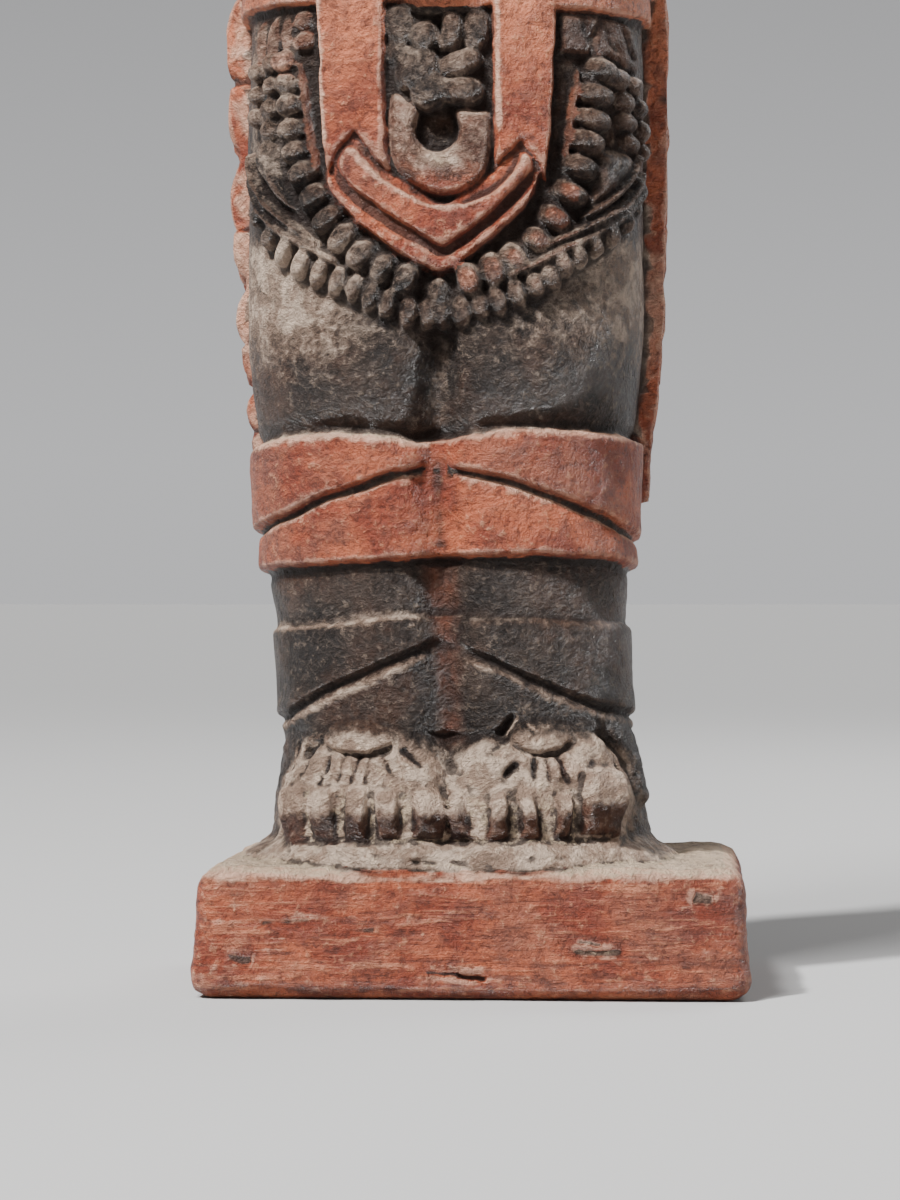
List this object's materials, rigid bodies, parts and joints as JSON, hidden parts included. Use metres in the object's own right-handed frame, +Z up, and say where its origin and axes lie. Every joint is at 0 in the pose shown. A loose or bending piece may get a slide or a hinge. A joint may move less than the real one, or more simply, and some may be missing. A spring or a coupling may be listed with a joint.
{
  "type": "clay warrior figure",
  "caption": "Standing fired-clay warrior in a feather cape, beaded kilt, knee and ankle wraps and a fan headdress, with legs fused and feet on a rounded rectangular plinth.",
  "frame": {"origin": "middle of the plinth's flat underside", "axes": "+Z up along the figure, -Y towards the viewer in front of the toes, +X to the viewer's right"},
  "size_m": [0.0674, 0.05, 0.238],
  "materials": {
    "fired_clay": "unglazed red clay with a rubbed grey-black slip on the legs, beads and fringe, and pale dust in the hollows"
  },
  "bodies": {
    "root": {"warrior_figure": "fired_clay"}
  },
  "joints": []
}
